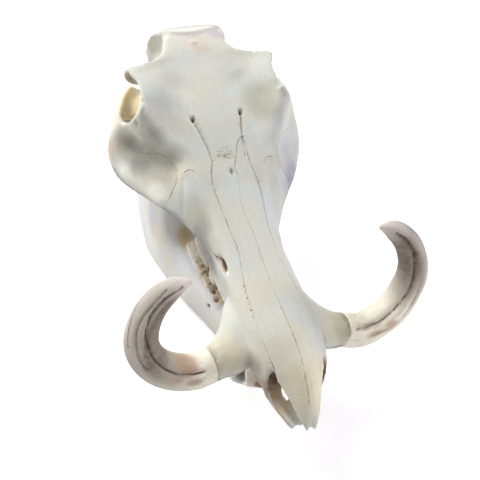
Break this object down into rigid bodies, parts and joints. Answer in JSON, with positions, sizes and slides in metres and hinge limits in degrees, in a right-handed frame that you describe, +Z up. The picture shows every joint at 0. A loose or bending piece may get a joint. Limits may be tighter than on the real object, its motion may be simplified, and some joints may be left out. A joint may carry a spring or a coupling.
{
  "type": "warthog skull",
  "caption": "Life-size skull of an adult warthog with its lower jaw and curled upper tusks, lying on the lower border of the jaw.",
  "frame": {"origin": "on the floor under the middle of the whole skull's bounding box, the lower jaw's border resting at z = 0", "axes": "+Z up, the nose points along -Y and the back of the head along +Y, +X is the animal's left side"},
  "size_m": [0.2852, 0.3928, 0.242],
  "materials": {
    "cranium_bone": "dry bleached bone, matte",
    "mandible_bone": "dry bleached bone, matte, slightly yellowed",
    "tusk_ivory": "worn ivory with grooves and brown stains"
  },
  "bodies": {
    "root": {"cranium": "cranium_bone", "mandible": "mandible_bone", "tusk_left": "tusk_ivory", "tusk_right": "tusk_ivory"}
  },
  "joints": []
}
